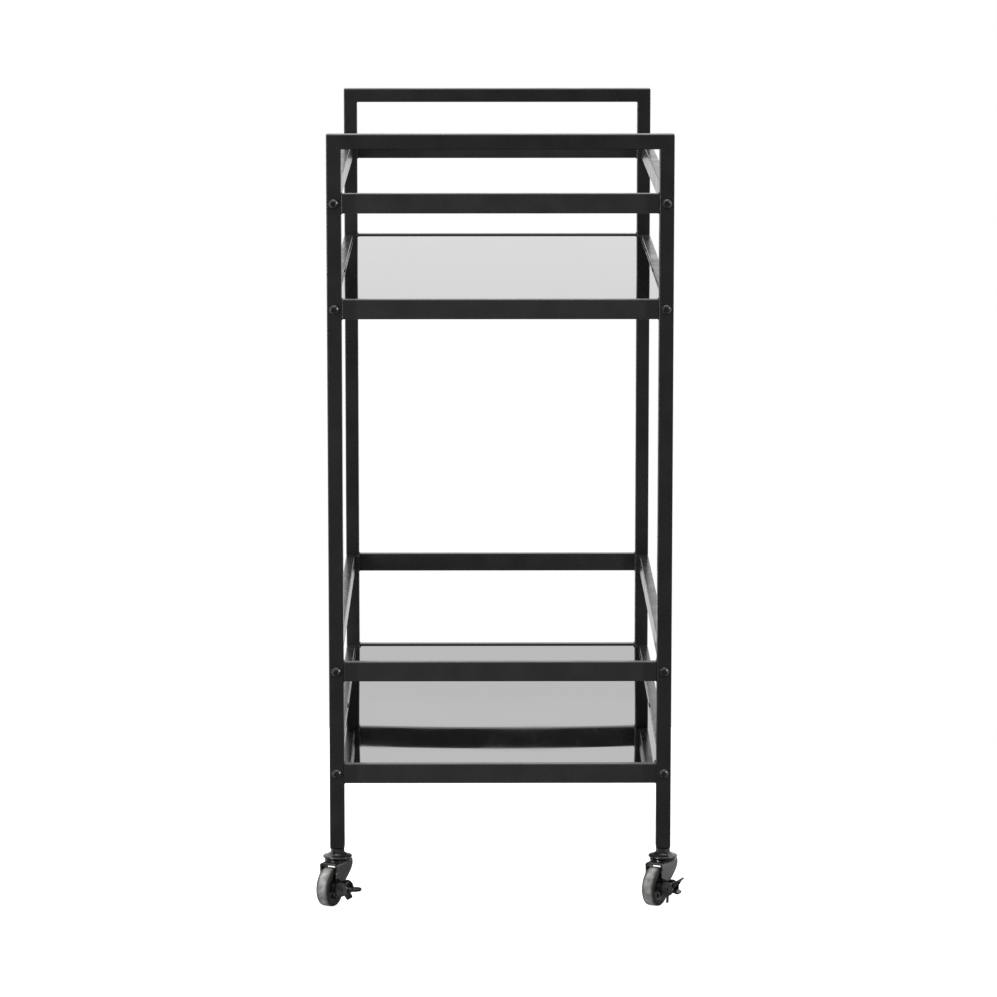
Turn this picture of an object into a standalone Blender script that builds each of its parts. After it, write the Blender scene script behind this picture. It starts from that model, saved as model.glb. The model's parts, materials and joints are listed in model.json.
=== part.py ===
"""Two-shelf bar cart on four swivel casters, the front pair with side brakes.

Metres, +Z up, +Y towards the far end, origin on the floor under the middle of the cart.
Two welded end frames carry bolted side rails, two mirror shelves and the casters.
"""

import math

import bmesh
import bpy
from mathutils import Matrix, Vector
from mathutils.geometry import interpolate_bezier

MM = 0.001
GAP = 0.3 * MM  # between two pieces that touch
SINK = 1 * MM  # how far a joined shape runs into its neighbour, or a cutter past it

# Overall sizes
CART_WIDTH = 350 * MM  # X, over the legs
CART_LENGTH = 650 * MM  # Y, over the legs
CART_HEIGHT = 792 * MM  # floor to the top of the handle bars

# Square tube of the legs and handle bars
TUBE = 15 * MM
TUBE_WALL = 1.2 * MM
TUBE_EDGE = 1.2 * MM  # outside corner radius
LEG_PLUG = 12 * MM  # welded, tapped plug in the foot of each leg

# Rectangular tube of the rails
RAIL_HEIGHT = 20 * MM
RAIL_DEPTH = 10 * MM
RAIL_WALL = 1 * MM
RAIL_EDGE = 1 * MM

# Levels of the four rings of rails
HANDLE_GAP = 44.5 * MM  # under the handle bar, down to the upper guard rails
UPPER_GUARD = 107 * MM  # rise of the upper guard rails over the upper shelf rails
LOWER_GUARD = 106.5 * MM  # rise of the lower guard rails over the lower shelf rails
LOWER_SHELF = 89.5 * MM  # top of the lower shelf rails over the foot of the legs

# Bolts that hold the side rails, M6 button heads
BOLT_SHANK = 6 * MM
BOLT_HEAD = 10.5 * MM
BOLT_HEAD_HEIGHT = 3.2 * MM
BOLT_CROWN = ((1, 0), (0.95, 0.45), (0.55, 1))  # head outline, as shares of its radius and height
BOLT_SOCKET = 4 * MM  # across the flats of the key
BOLT_SOCKET_DEPTH = 2 * MM
BOLT_CLEARANCE = 0.3 * MM  # on the radius
NUT_BLOCK = 8 * MM  # length of the tapped block at each end of a side rail
BLOCK_INSET = 0.2 * MM  # block faces lie this far inside the rail's faces

# Mirror shelves
MIRROR_THICK = 4 * MM
MIRROR_RECESS = 1.5 * MM  # below the top of the shelf rails
MIRROR_GAP = 1 * MM  # round the edge
TAB_LENGTH = 16 * MM
TAB_REACH = 12 * MM
TAB_THICK = 2 * MM
SIDE_TABS = 3
SIDE_TAB_SPACING = 200 * MM
END_TABS = 2
END_TAB_SPACING = 160 * MM

# Caster wheel
WHEEL_RADIUS = 20 * MM
WHEEL_WIDTH = 13.5 * MM
TYRE_DEPTH = 4.7 * MM
TYRE_SHOULDER = 2 * MM
TYRE_FALL = 0.5 * MM  # the side of the tyre falls in towards the hub
HUB_INSET = 0.6 * MM  # side of the hub's rim inside the side of the tyre
HUB_RIM = 2 * MM
HUB_RECESS = 2.2 * MM
HUB_BOSS_RADIUS = 5 * MM
HUB_BOSS_DRAFT = 1 * MM
WHEEL_TOP_GAP = 3 * MM  # wheel to the underside of the deck
TRAIL = 17.4 * MM  # axle behind the swivel axis
AXLE_RADIUS = 2.5 * MM
AXLE_HEAD_RADIUS = 4.2 * MM
AXLE_HEAD = 1.5 * MM
AXLE_CHAMFER = 0.85 * MM

# Caster stem and swivel head
STEM_RADIUS = 4 * MM
STEM_ENGAGED = 16 * MM
STEM_CHAMFER = 0.8 * MM
COLLAR_FLATS = 13 * MM
COLLAR_HEIGHT = 4 * MM
COLLAR_TURN = math.radians(15)
DISH_RADIUS = 15 * MM
DISH_HEIGHT = 5.8 * MM
DISH_RIM = 1.4 * MM
DISH_EDGE = 0.75 * MM
DISH_CROWN_RADIUS = 8.25 * MM
DISH_CROWN_FALL = 0.1 * MM
KINGPIN_HEAD_RADIUS = 6.5 * MM
KINGPIN_HEAD = 1.7 * MM
KINGPIN_CHAMFER = 1 * MM

# Caster fork
FORK_PLATE = 2 * MM
FORK_SIDE_GAP = 1 * MM  # wheel to cheek
DECK_THICK = 2.3 * MM
DECK_REAR = 15 * MM
DECK_FRONT = 21.5 * MM
DECK_CORNER = 5 * MM
CHEEK_CORNER = 2 * MM
CHEEK_SETBACK = 0.5 * MM  # front edge of a cheek behind the front of the deck
CHEEK_BACK_BOW = ((-3.5 * MM, -9 * MM), (-15.3 * MM, 9.9 * MM))  # handles off the edge's two ends
PLAIN_CHEEK_BACK = 6 * MM  # back edge at the deck on the side away from the brake, a narrower cheek
PLAIN_BACK_BOW = ((0.3 * MM, -9 * MM), (-4 * MM, 7 * MM))
CHEEK_FRONT_BOW = ((1.1 * MM, 7.1 * MM), (-2.1 * MM, -8 * MM))
RACE_RADIUS = 13.3 * MM
RACE_HEIGHT = 1.3 * MM
AXLE_BOSS_RADIUS = 5 * MM

# Side brake
BARREL_GAP = 0.45 * MM  # lever barrel to the head of the axle
EAR_RADIUS = 7.3 * MM
EAR_BASE = 5 * MM  # half height where an ear meets the cheek
EAR_THICK = 1.6 * MM
LEVER_WIDTH = 11.4 * MM
LEVER_BARREL = 4 * MM
PIN_RADIUS = 1.5 * MM
PEDAL_REACH = 19.5 * MM
PEDAL_HALF_WIDTH = 7 * MM
PEDAL_THICK = 2 * MM
RELEASE_REACH = 12.5 * MM
RELEASE_ANGLE = math.radians(-57)  # from the pedal
TOOTH_BITE = 0.9 * MM  # into the side of the wheel when the brake is down
TOOTH_THICK = 1.6 * MM
TOOTH_WIDTH = 3.2 * MM
TOOTH_ANGLE = math.radians(-130)  # from the pedal
LEVER_TRAVEL = math.radians(38)

# name, X side, Y end, heading of the trailing wheel in degrees, brake, lever angle at rest
CASTERS = (
    ("front_left", -1, -1, -115.0, True, 0.0),
    ("front_right", 1, -1, -117.7, True, LEVER_TRAVEL),
    ("rear_left", -1, 1, 72.0, False, 0.0),
    ("rear_right", 1, 1, 102.0, False, 0.0),
)

# Worked out from the sizes above
WHEEL_TOP = 2 * WHEEL_RADIUS
DECK_UNDER = WHEEL_TOP + WHEEL_TOP_GAP
DECK_TOP = DECK_UNDER + DECK_THICK
RACE_TOP = DECK_TOP + RACE_HEIGHT
DISH_UNDER = RACE_TOP + GAP
DISH_TOP = DISH_UNDER + DISH_HEIGHT
CASTER_HEIGHT = DISH_TOP + COLLAR_HEIGHT + GAP  # floor to the underside of a leg
LEG_X = CART_WIDTH / 2 - TUBE / 2
LEG_Y = CART_LENGTH / 2 - TUBE / 2
BAR_UNDER = CART_HEIGHT - TUBE
UPPER_GUARD_TOP = BAR_UNDER - HANDLE_GAP
UPPER_SHELF_TOP = UPPER_GUARD_TOP - UPPER_GUARD
LOWER_SHELF_TOP = CASTER_HEIGHT + LOWER_SHELF
LOWER_GUARD_TOP = LOWER_SHELF_TOP + LOWER_GUARD
RAIL_TOPS = {
    "upper_guard": UPPER_GUARD_TOP,
    "upper_shelf": UPPER_SHELF_TOP,
    "lower_guard": LOWER_GUARD_TOP,
    "lower_shelf": LOWER_SHELF_TOP,
}
BORE_RADIUS = BOLT_SHANK / 2 + BOLT_CLEARANCE
CHEEK_INNER = WHEEL_WIDTH / 2 + FORK_SIDE_GAP
CHEEK_OUTER = CHEEK_INNER + FORK_PLATE
EAR_INNER = LEVER_WIDTH / 2 + GAP
AXLE_END = CHEEK_OUTER + GAP + AXLE_HEAD
BRAKE_PIVOT_OUT = AXLE_END + BARREL_GAP + LEVER_BARREL  # pin line from the wheel's middle plane

for old in list(bpy.data.objects):
    bpy.data.objects.remove(old, do_unlink=True)


def material(name, color, roughness, metallic=0.0):
    made = bpy.data.materials.new(name)
    made.use_nodes = True
    made.diffuse_color = (*color, 1)
    shader = made.node_tree.nodes["Principled BSDF"]
    shader.inputs["Base Color"].default_value = (*color, 1)
    shader.inputs["Roughness"].default_value = roughness
    shader.inputs["Metallic"].default_value = metallic
    return made


FRAME_PAINT = material("frame_paint", (0.022, 0.022, 0.024), 0.38)
BOLT_BLACK = material("bolt_black", (0.03, 0.03, 0.032), 0.3, 0.8)
MIRROR = material("mirror", (0.82, 0.83, 0.84), 0.03, 1.0)
CASTER_STEEL = material("caster_steel", (0.035, 0.033, 0.034), 0.35, 0.7)
BRAKE_STEEL = material("brake_steel", (0.05, 0.05, 0.05), 0.3, 0.9)
AXLE_STEEL = material("axle_steel", (0.25, 0.25, 0.25), 0.3, 1.0)
HUB_PLASTIC = material("hub_plastic", (0.03, 0.032, 0.033), 0.45)
TYRE_GREY = material("tyre_grey", (0.23, 0.225, 0.215), 0.6)


def finished(bm, name):
    """The mesh of a bmesh, its faces turned outwards."""
    bmesh.ops.remove_doubles(bm, verts=bm.verts, dist=1e-7)
    bmesh.ops.recalc_face_normals(bm, faces=bm.faces)
    mesh = bpy.data.meshes.new(name)
    bm.to_mesh(mesh)
    bm.free()
    return mesh


def box(low, high):
    """A box between two corners."""
    low, high = Vector(low), Vector(high)
    bm = bmesh.new()
    size = Matrix.Diagonal((*(high - low), 1))
    bmesh.ops.create_cube(bm, size=1, matrix=Matrix.Translation((low + high) / 2) @ size)
    return finished(bm, "box")


def prism(outline, low, high, turn=None, edge=0.0):
    """An XY outline raised from low to high, its long edges rounded by edge, then turned."""
    bm = bmesh.new()
    base = bm.faces.new([bm.verts.new((x, y, low)) for x, y in outline])
    raised = bmesh.ops.extrude_face_region(bm, geom=[base])["geom"]
    top = [v for v in raised if isinstance(v, bmesh.types.BMVert)]
    bmesh.ops.translate(bm, verts=top, vec=(0, 0, high - low))
    if edge:
        upright = [e for e in bm.edges if abs(e.verts[0].co.z - e.verts[1].co.z) > GAP]
        bmesh.ops.bevel(
            bm, geom=upright, offset=edge, segments=2, profile=0.5, affect="EDGES", material=-1
        )
    if turn:
        bmesh.ops.transform(bm, matrix=turn, verts=bm.verts)
    return finished(bm, "prism")


def rod(radius, low, high, turn=None, steps=12, first=0.0):
    """A round or many-sided bar along Z."""
    angles = [first + math.tau * i / steps for i in range(steps)]
    return prism([(radius * math.cos(a), radius * math.sin(a)) for a in angles], low, high, turn)


def turned(profile, steps, turn=None, ring=False):
    """A profile of (radius, height) points spun about Z; a ring's profile is a closed loop."""
    bm = bmesh.new()
    verts = [bm.verts.new((radius, 0, height)) for radius, height in profile]
    pairs = list(zip(verts, verts[1:] + verts[:1] if ring else verts[1:]))
    edges = [bm.edges.new(pair) for pair in pairs]
    bmesh.ops.spin(
        bm, geom=verts + edges, cent=(0, 0, 0), axis=(0, 0, 1), angle=math.tau, steps=steps, use_merge=True
    )
    if turn:
        bmesh.ops.transform(bm, matrix=turn, verts=bm.verts)
    return finished(bm, "turned")


def shaped(body, joined=(), cut=()):
    """One mesh: a body with other meshes joined to it, then others cut from it."""
    target = bpy.data.objects.new("shaping", body)
    bpy.context.scene.collection.objects.link(target)
    tools = []
    for operation, meshes in (("UNION", joined), ("DIFFERENCE", cut)):
        for mesh in meshes:
            tool = bpy.data.objects.new("tool", mesh)
            tool.hide_render = True
            tool.display_type = "WIRE"
            bpy.context.scene.collection.objects.link(tool)
            modifier = target.modifiers.new(operation.lower(), "BOOLEAN")
            modifier.operation = operation
            modifier.object = tool
            tools.append(tool)
    graph = bpy.context.evaluated_depsgraph_get()
    result = bpy.data.meshes.new_from_object(target.evaluated_get(graph))
    for helper in [target] + tools:
        bpy.data.objects.remove(helper, do_unlink=True)
    return result


def add(name, mesh, paint, parent=None, at=(0, 0, 0), turn_z=0.0, smooth=False):
    """One named piece of the cart."""
    mesh = mesh.copy()
    mesh.name = name
    mesh.materials.clear()
    mesh.materials.append(paint)
    if smooth:
        mesh.shade_smooth()
        mesh.set_sharp_from_angle(angle=math.radians(35))
    piece = bpy.data.objects.new(name, mesh)
    bpy.context.scene.collection.objects.link(piece)
    piece.parent = parent
    piece.location = at
    piece.rotation_euler.z = turn_z
    return piece


ALONG_X = Matrix.Rotation(math.pi / 2, 4, "Y")
ALONG_Y = Matrix.Rotation(-math.pi / 2, 4, "X")
FACING_Y = Matrix.Rotation(math.pi / 2, 4, "X")  # an XY outline stood up in XZ


def rail_middle(top):
    return top - RAIL_HEIGHT / 2


def end_frame():
    """Two legs and a handle bar, mitred and welded, in the plane Y = 0, facing -Y."""
    half = CART_WIDTH / 2
    foot = CASTER_HEIGHT

    def arch(inset, floor):
        inner = half - TUBE + inset
        outer = half - inset
        ceiling = CART_HEIGHT - inset
        under = BAR_UNDER + inset
        return [
            (-outer, floor),
            (-outer, ceiling),
            (outer, ceiling),
            (outer, floor),
            (inner, floor),
            (inner, under),
            (-inner, under),
            (-inner, floor),
        ]

    def stood(outline, depth):
        return prism(outline, -depth / 2, depth / 2, FACING_Y)

    bm = bmesh.new()
    bm.from_mesh(stood(arch(0, foot), TUBE))
    bmesh.ops.bevel(
        bm, geom=bm.edges[:], offset=TUBE_EDGE, segments=2, profile=0.5, affect="EDGES", material=-1
    )
    hollow = stood(arch(TUBE_WALL, foot + LEG_PLUG), TUBE - 2 * TUBE_WALL)
    bores = []
    for side in (-1, 1):
        for top in RAIL_TOPS.values():
            place = Matrix.Translation((side * LEG_X, 0, rail_middle(top)))
            bores.append(rod(BORE_RADIUS, -TUBE, TUBE, place @ ALONG_Y))
        place = Matrix.Translation((side * LEG_X, 0, foot))
        bores.append(rod(STEM_RADIUS + GAP, -TUBE, LEG_PLUG + TUBE_WALL, place))
    return shaped(finished(bm, "arch"), cut=[hollow] + bores)


def tube(length):
    """A rail along Z, RAIL_DEPTH by RAIL_HEIGHT outside, solid as yet."""
    x, y = RAIL_DEPTH / 2, RAIL_HEIGHT / 2
    return prism([(-x, -y), (x, -y), (x, y), (-x, y)], -length / 2, length / 2, None, RAIL_EDGE)


def tube_hollow(length):
    x, y = RAIL_DEPTH / 2 - RAIL_WALL, RAIL_HEIGHT / 2 - RAIL_WALL
    return box((-x, -y, -length / 2), (x, y, length / 2))


def tabs(spacing, count):
    """Shelf tabs on a rail lying along Y with its inner face towards -X."""
    top = RAIL_HEIGHT / 2 - MIRROR_RECESS - MIRROR_THICK - GAP
    root = -RAIL_DEPTH / 2 + RAIL_WALL / 2
    tip = -RAIL_DEPTH / 2 - TAB_REACH
    made = []
    for i in range(count):
        middle = spacing * (i - (count - 1) / 2)
        low = (tip, middle - TAB_LENGTH / 2, top - TAB_THICK)
        made.append(box(low, (root, middle + TAB_LENGTH / 2, top)))
    return made


def rail_along_y(mesh):
    mesh.transform(ALONG_Y)
    return mesh


def end_rail(with_tabs):
    """A cross rail along Y as made, welded between two legs; its inner face looks to -X."""
    length = CART_WIDTH - 2 * TUBE - 2 * GAP
    body = rail_along_y(tube(length))
    hollow = rail_along_y(tube_hollow(length + 2 * RAIL_DEPTH))
    rail = shaped(body, cut=[hollow])
    return shaped(rail, joined=tabs(END_TAB_SPACING, END_TABS)) if with_tabs else rail


def side_rail(with_tabs):
    """A long rail along Y with a tapped block at each end; its inner face looks to -X."""
    half = CART_LENGTH / 2 - TUBE - GAP
    outer = RAIL_DEPTH / 2
    z = RAIL_HEIGHT / 2 - BLOCK_INSET
    blocks = []
    bores = []
    bolt_x = outer - TUBE / 2
    for end in (-1, 1):
        near, far = sorted((end * half, end * (half - NUT_BLOCK)))
        blocks.append(box((outer - TUBE, near, -z), (outer - BLOCK_INSET, far, z)))
        place = Matrix.Translation((bolt_x, end * (half - NUT_BLOCK / 2), 0))
        bores.append(rod(BORE_RADIUS, -NUT_BLOCK, NUT_BLOCK, place @ ALONG_Y))
    hollow = rail_along_y(tube_hollow(2 * (half - NUT_BLOCK)))
    rail = shaped(rail_along_y(tube(2 * half)), joined=blocks)
    rail = shaped(rail, cut=[hollow] + bores)
    return shaped(rail, joined=tabs(SIDE_TAB_SPACING, SIDE_TABS)) if with_tabs else rail


def mirror():
    """A pane with its corners cut out round the legs and the nut blocks."""
    x = CART_WIDTH / 2 - RAIL_DEPTH - MIRROR_GAP
    y = CART_LENGTH / 2 - RAIL_DEPTH - MIRROR_GAP
    notch_x = CART_WIDTH / 2 - TUBE - MIRROR_GAP
    notch_y = CART_LENGTH / 2 - TUBE - NUT_BLOCK - MIRROR_GAP
    quarter = [(x, notch_y), (notch_x, notch_y), (notch_x, y)]
    outline = quarter + [(-a, b) for a, b in reversed(quarter)]
    outline += [(-a, -b) for a, b in quarter] + [(a, -b) for a, b in reversed(quarter)]
    return prism(outline, 0, MIRROR_THICK)


def bolt():
    """A button-head bolt along +Y, the underside of its head at Y = 0."""
    reach = GAP + TUBE + GAP + NUT_BLOCK - 2 * GAP
    shank = BOLT_SHANK / 2
    rise = BOLT_HEAD_HEIGHT
    profile = [(0, reach), (shank, reach), (shank, 0)]
    profile += [(BOLT_HEAD / 2 * out, -rise * up) for out, up in BOLT_CROWN]
    profile.append((0, -rise))
    socket = rod(BOLT_SOCKET / math.sqrt(3), -2 * rise, BOLT_SOCKET_DEPTH - rise, None, 6)
    socket.transform(ALONG_Y)
    return shaped(turned(profile, 12, ALONG_Y), cut=[socket])


def stem():
    """Threaded stem, hexagon collar, swivel dish and kingpin, about the swivel axis."""
    rim = DISH_RADIUS
    waist = STEM_RADIUS
    pin_under = DECK_UNDER - GAP
    tip = CASTER_HEIGHT + STEM_ENGAGED
    profile = [
        (0, tip),
        (waist - STEM_CHAMFER, tip),
        (waist, tip - STEM_CHAMFER),
        (waist, DISH_TOP),
        (DISH_CROWN_RADIUS, DISH_TOP - DISH_CROWN_FALL),
        (rim - DISH_EDGE, DISH_UNDER + DISH_RIM + DISH_EDGE),
        (rim, DISH_UNDER + DISH_RIM),
        (rim - DISH_EDGE, DISH_UNDER),
        (waist, DISH_UNDER),
        (waist, pin_under),
        (KINGPIN_HEAD_RADIUS, pin_under),
        (KINGPIN_HEAD_RADIUS - KINGPIN_CHAMFER, pin_under - KINGPIN_HEAD),
        (0, pin_under - KINGPIN_HEAD),
    ]
    corner = COLLAR_FLATS / math.sqrt(3)
    collar = rod(corner, DISH_TOP - SINK, CASTER_HEIGHT - GAP, None, 6, COLLAR_TURN)
    return shaped(turned(profile, 20), joined=[collar])


def bowed(start, end, bow, steps):
    """Points along a Bezier edge whose two handles are given as offsets from its ends."""
    handles = [(p[0] + off[0], p[1] + off[1], 0) for p, off in zip((start, end), bow)]
    curve = interpolate_bezier((*start, 0), *handles, (*end, 0), steps)
    return [(p.x, p.y) for p in curve]


def cheek_outline(back_x, back_bow):
    """Side plate of the fork, in X (trailing) and Z, from the deck down round the axle."""
    start, sweep, steps = math.radians(215), math.radians(155), 6
    angles = [start + sweep * i / steps for i in range(steps + 1)]
    arc = [
        (TRAIL + AXLE_BOSS_RADIUS * math.cos(a), WHEEL_RADIUS + AXLE_BOSS_RADIUS * math.sin(a))
        for a in angles
    ]
    sunk = DECK_TOP - BLOCK_INSET
    back = bowed((back_x, DECK_UNDER), arc[0], back_bow, 8)
    front = bowed(arc[-1], (DECK_FRONT - CHEEK_SETBACK, DECK_UNDER), CHEEK_FRONT_BOW, 5)
    top = [(DECK_FRONT - CHEEK_CORNER, sunk), (back_x + CHEEK_CORNER, sunk)]
    return back + arc[1:] + front[1:] + top


def fork(braked):
    """Stamped fork about the swivel axis, trailing towards +X, its brake side at +Y."""
    corner = DECK_CORNER
    side = CHEEK_OUTER + BLOCK_INSET
    deck = [
        (-DECK_REAR, side - corner),
        (-DECK_REAR + corner, side),
        (DECK_FRONT - corner, side),
        (DECK_FRONT, side - corner),
        (DECK_FRONT, corner - side),
        (DECK_FRONT - corner, -side),
        (-DECK_REAR + corner, -side),
        (-DECK_REAR, corner - side),
    ]
    joined = [rod(RACE_RADIUS, DECK_TOP - SINK, RACE_TOP, None, 20)]
    brake_side = cheek_outline(-DECK_REAR, CHEEK_BACK_BOW)
    plain_side = cheek_outline(PLAIN_CHEEK_BACK, PLAIN_BACK_BOW)
    joined.append(prism(brake_side, -CHEEK_OUTER, -CHEEK_INNER, FACING_Y))
    joined.append(prism(plain_side, CHEEK_INNER, CHEEK_OUTER, FACING_Y))
    axle_place = Matrix.Translation((TRAIL, 0, WHEEL_RADIUS))
    cut = [
        rod(STEM_RADIUS + GAP, DECK_UNDER - SINK, RACE_TOP + SINK),
        rod(AXLE_RADIUS + GAP, -2 * CHEEK_OUTER, 2 * CHEEK_OUTER, axle_place @ ALONG_Y),
    ]
    if braked:
        pivot = Vector((TRAIL, BRAKE_PIVOT_OUT, WHEEL_RADIUS))
        pin = Matrix.Translation(pivot) @ ALONG_X
        sunk = CHEEK_OUTER - FORK_PLATE / 2
        ear = [(-EAR_BASE, sunk - BRAKE_PIVOT_OUT), (EAR_BASE, sunk - BRAKE_PIVOT_OUT)]
        start, sweep, steps = math.radians(-40), math.radians(260), 10
        for angle in [start + sweep * i / steps for i in range(steps + 1)]:
            ear.append((EAR_RADIUS * math.cos(angle), EAR_RADIUS * math.sin(angle)))
        for end in (-1, 1):
            near, far = sorted((end * EAR_INNER, end * (EAR_INNER + EAR_THICK)))
            joined.append(prism(ear, near, far, pin))
        half = EAR_INNER + EAR_THICK - BLOCK_INSET
        low = pivot - Vector((half, BRAKE_PIVOT_OUT - sunk + BLOCK_INSET, EAR_BASE - BLOCK_INSET))
        high = (TRAIL + half, CHEEK_OUTER - BLOCK_INSET, WHEEL_RADIUS + EAR_BASE - BLOCK_INSET)
        joined.append(box(low, high))
        cut.append(rod(PIN_RADIUS + GAP, -TRAIL, TRAIL, pin, 12))
    return shaped(prism(deck, DECK_UNDER, DECK_TOP), joined=joined, cut=cut)


def axle():
    """Riveted axle along Y through the middle of the wheel."""
    profile = [
        (0, AXLE_END),
        (AXLE_HEAD_RADIUS - AXLE_CHAMFER, AXLE_END),
        (AXLE_HEAD_RADIUS, AXLE_END - AXLE_CHAMFER),
        (AXLE_HEAD_RADIUS, CHEEK_OUTER + GAP),
        (AXLE_RADIUS, CHEEK_OUTER + GAP),
    ]
    profile += [(radius, -height) for radius, height in reversed(profile)]
    return turned(profile, 12, ALONG_Y)


def hub():
    """Plastic wheel centre about Y, with a boss on each side and a thin web."""
    rim = WHEEL_RADIUS - TYRE_DEPTH - GAP
    half = WHEEL_WIDTH / 2 - HUB_INSET
    boss = CHEEK_INNER - GAP
    web = half - HUB_RECESS
    side = [
        (AXLE_RADIUS + GAP, boss),
        (HUB_BOSS_RADIUS, boss),
        (HUB_BOSS_RADIUS + HUB_BOSS_DRAFT, web),
        (rim - HUB_RIM, web),
        (rim - HUB_RIM, half),
        (rim, half),
    ]
    return turned(side + [(r, -h) for r, h in reversed(side)], 20, ALONG_Y, ring=True)


def tyre():
    """Grey tread ring about Y with rounded shoulders."""
    inner = WHEEL_RADIUS - TYRE_DEPTH
    half = WHEEL_WIDTH / 2
    side = [
        (inner, half - TYRE_FALL),
        (WHEEL_RADIUS - TYRE_SHOULDER, half),
        (WHEEL_RADIUS, half - TYRE_SHOULDER),
    ]
    return turned(side + [(r, -h) for r, h in reversed(side)], 28, ALONG_Y, ring=True)


def lever(angle):
    """Rocking brake lever about X: pedal towards +Y, release paddle and tooth below.

    With the pedal down, the tooth at its +X end reaches into the recess of the hub.
    """
    inside = (PIN_RADIUS + LEVER_BARREL) / 2

    def arm(outline, thick, lean):
        turn = Matrix.Rotation(angle + lean, 4, "X")
        return prism(outline, -thick / 2, thick / 2, turn)

    def strip(low, high, reach):
        return [(low, inside), (high, inside), (high, reach), (low, reach)]

    def paddle(half, wide, reach):
        side = [(half, inside), (half, EAR_RADIUS + SINK)]
        steps = 4
        for a in [math.pi / 2 * i / steps for i in range(steps + 1)]:
            side.append((wide * math.cos(a), reach - wide + wide * math.sin(a)))
        return side + [(-x, y) for x, y in reversed(side[:-1])]

    half = LEVER_WIDTH / 2 - BLOCK_INSET
    pin_half = EAR_INNER + EAR_THICK + SINK
    inward, down = -math.cos(TOOTH_ANGLE), -math.sin(TOOTH_ANGLE)
    tip_out = WHEEL_WIDTH / 2 - TOOTH_BITE + TOOTH_THICK / 2 * down
    tooth_reach = (BRAKE_PIVOT_OUT - tip_out) / inward
    parts = [
        arm(paddle(half, PEDAL_HALF_WIDTH, PEDAL_REACH), PEDAL_THICK, 0),
        arm(strip(-half, half, RELEASE_REACH), PEDAL_THICK, RELEASE_ANGLE),
        arm(strip(half - TOOTH_WIDTH, half, tooth_reach), TOOTH_THICK, TOOTH_ANGLE),
        rod(PIN_RADIUS, -pin_half, pin_half, ALONG_X, 12),
    ]
    return shaped(rod(LEVER_BARREL, -LEVER_WIDTH / 2, LEVER_WIDTH / 2, ALONG_X), joined=parts)


# End frames, with their welded cross rails
for end_name, end in (("front", -1), ("rear", 1)):
    add(end_name + "_end_frame", end_frame(), FRAME_PAINT, at=(0, end * LEG_Y, 0))
    for level, top in RAIL_TOPS.items():
        place = (0, end * (CART_LENGTH - RAIL_DEPTH) / 2, rail_middle(top))
        rail = end_rail("shelf" in level)
        add(f"{end_name}_{level}_rail", rail, FRAME_PAINT, at=place, turn_z=end * math.pi / 2)

# Side rails, bolted through the legs
for side_name, side in (("left", -1), ("right", 1)):
    for level, top in RAIL_TOPS.items():
        place = (side * (CART_WIDTH - RAIL_DEPTH) / 2, 0, rail_middle(top))
        turn = 0 if side > 0 else math.pi
        add(f"{side_name}_{level}_rail", side_rail("shelf" in level), FRAME_PAINT, at=place, turn_z=turn)
        for end_name, end in (("front", -1), ("rear", 1)):
            face = end * (CART_LENGTH / 2 + GAP)
            turn = 0 if end < 0 else math.pi
            place = (side * LEG_X, face, rail_middle(top))
            name = f"{end_name}_{side_name}_{level}_bolt"
            add(name, bolt(), BOLT_BLACK, at=place, turn_z=turn, smooth=True)

# Mirror shelves
for name, top in (("upper", UPPER_SHELF_TOP), ("lower", LOWER_SHELF_TOP)):
    add(name + "_mirror_shelf", mirror(), MIRROR, at=(0, 0, top - MIRROR_RECESS - MIRROR_THICK))

# Casters, each on an empty at the foot of its swivel axis
for where, side, end, heading, braked, lever_angle in CASTERS:
    swivel = bpy.data.objects.new("swivel_" + where, None)
    bpy.context.scene.collection.objects.link(swivel)
    swivel.location = (side * LEG_X, end * LEG_Y, 0)
    swivel.rotation_euler.z = math.radians(heading)
    add("caster_stem_" + where, stem(), CASTER_STEEL, at=swivel.location, smooth=True)
    add("caster_fork_" + where, fork(braked), CASTER_STEEL, swivel, smooth=True)
    centre = (TRAIL, 0, WHEEL_RADIUS)
    add("caster_axle_" + where, axle(), AXLE_STEEL, swivel, centre, smooth=True)
    add("wheel_hub_" + where, hub(), HUB_PLASTIC, swivel, centre, smooth=True)
    add("wheel_tyre_" + where, tyre(), TYRE_GREY, swivel, centre, smooth=True)
    if braked:
        pivot = (TRAIL, BRAKE_PIVOT_OUT, WHEEL_RADIUS)
        add("brake_lever_" + where, lever(lever_angle), BRAKE_STEEL, swivel, pivot, smooth=True)
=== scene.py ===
"""Bar cart on wheels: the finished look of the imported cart.

Every piece below stands for one or more of the cart's plain solids, in the same place and at the
same size, and rides on the same body.  Metres, +Z up, the front of the cart towards -Y.
"""

import json
import math

import bmesh
import bpy
from mathutils import Matrix, Vector
from mathutils.geometry import interpolate_bezier


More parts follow.
